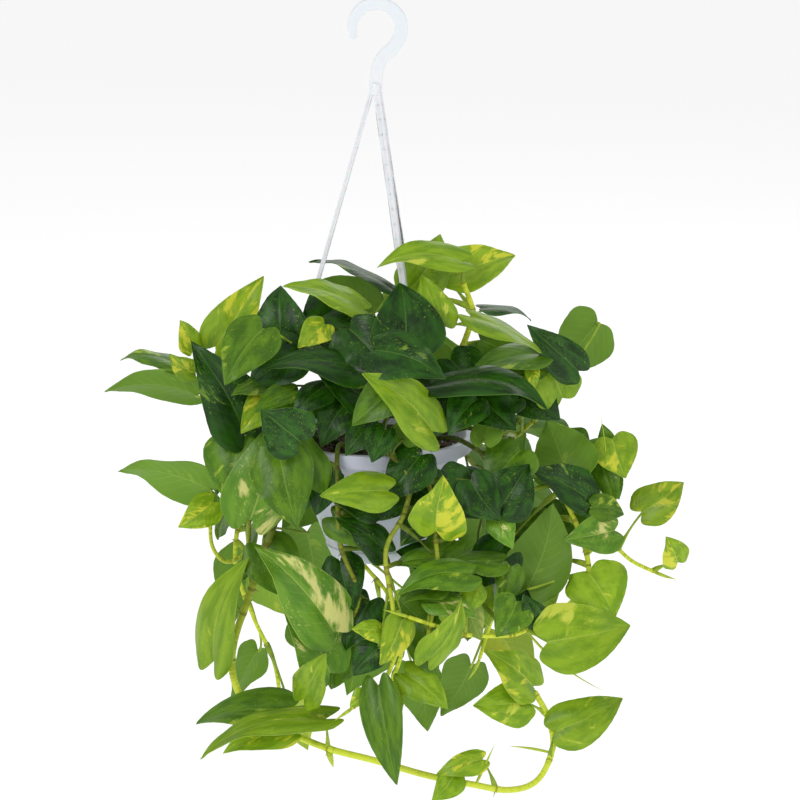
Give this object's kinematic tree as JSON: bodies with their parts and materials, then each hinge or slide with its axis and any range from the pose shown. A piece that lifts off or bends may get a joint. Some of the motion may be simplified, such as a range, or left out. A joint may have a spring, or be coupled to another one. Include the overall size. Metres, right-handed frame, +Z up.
{
  "type": "hanging potted pothos plant",
  "caption": "Trailing golden pothos with heart-shaped variegated leaves in a tapered white plastic hanging pot on a three-armed hook hanger.",
  "frame": {"origin": "the top of the inside of the hook, where the plant hangs", "axes": "+Z up along the hanging axis, +X to the right across the flat of the hook, -Y to the front"},
  "size_m": [0.5856, 0.3626, 0.7992],
  "materials": {
    "leaf_bright": "waxy bright green leaf",
    "leaf_cream": "waxy green leaf with cream streaks",
    "leaf_dark": "waxy deep green leaf with pale specks",
    "leaf_mid": "waxy mid green leaf",
    "leaf_yellow": "waxy green leaf with yellow variegation",
    "soil": "moist dark brown peat and bark potting mix",
    "vine": "smooth fleshy stem, yellow-green when young and brown-green when old",
    "white_plastic": "smooth white moulded polypropylene with a faint lavender cast"
  },
  "bodies": {
    "root": {"hanger": "white_plastic", "leaf_01": "leaf_yellow", "leaf_02": "leaf_dark", "leaf_03": "leaf_mid", "leaf_04": "leaf_bright", "leaf_05": "leaf_dark", "leaf_06": "leaf_bright", "leaf_07": "leaf_dark", "leaf_08": "leaf_dark", "leaf_09": "leaf_bright", "leaf_10": "leaf_yellow", "leaf_11": "leaf_bright", "leaf_12": "leaf_bright", "leaf_13": "leaf_mid", "leaf_14": "leaf_dark", "leaf_15": "leaf_mid", "leaf_16": "leaf_mid", "leaf_17": "leaf_dark", "leaf_18": "leaf_mid", "leaf_19": "leaf_cream", "leaf_20": "leaf_mid", "leaf_21": "leaf_bright", "leaf_22": "leaf_yellow", "leaf_23": "leaf_mid", "leaf_24": "leaf_mid", "leaf_25": "leaf_yellow", "leaf_26": "leaf_yellow", "leaf_27": "leaf_dark", "leaf_28": "leaf_mid", "leaf_29": "leaf_bright", "leaf_30": "leaf_bright", "leaf_31": "leaf_yellow", "leaf_32": "leaf_bright", "leaf_33": "leaf_bright", "leaf_34": "leaf_bright", "leaf_35": "leaf_cream", "leaf_36": "leaf_cream", "leaf_37": "leaf_mid", "leaf_38": "leaf_bright", "leaf_39": "leaf_mid", "pot": "white_plastic", "potting_soil": "soil", "vine_back": "vine", "vine_back_left": "vine", "vine_back_right": "vine", "vine_crown": "vine", "vine_crown_back": "vine", "vine_crown_left": "vine", "vine_crown_right": "vine", "vine_front": "vine", "vine_left_high": "vine", "vine_left_loop": "vine", "vine_long": "vine", "vine_loop": "vine", "vine_low_left": "vine", "vine_low_right": "vine", "vine_right": "vine", "vine_right_high": "vine"}
  },
  "joints": []
}
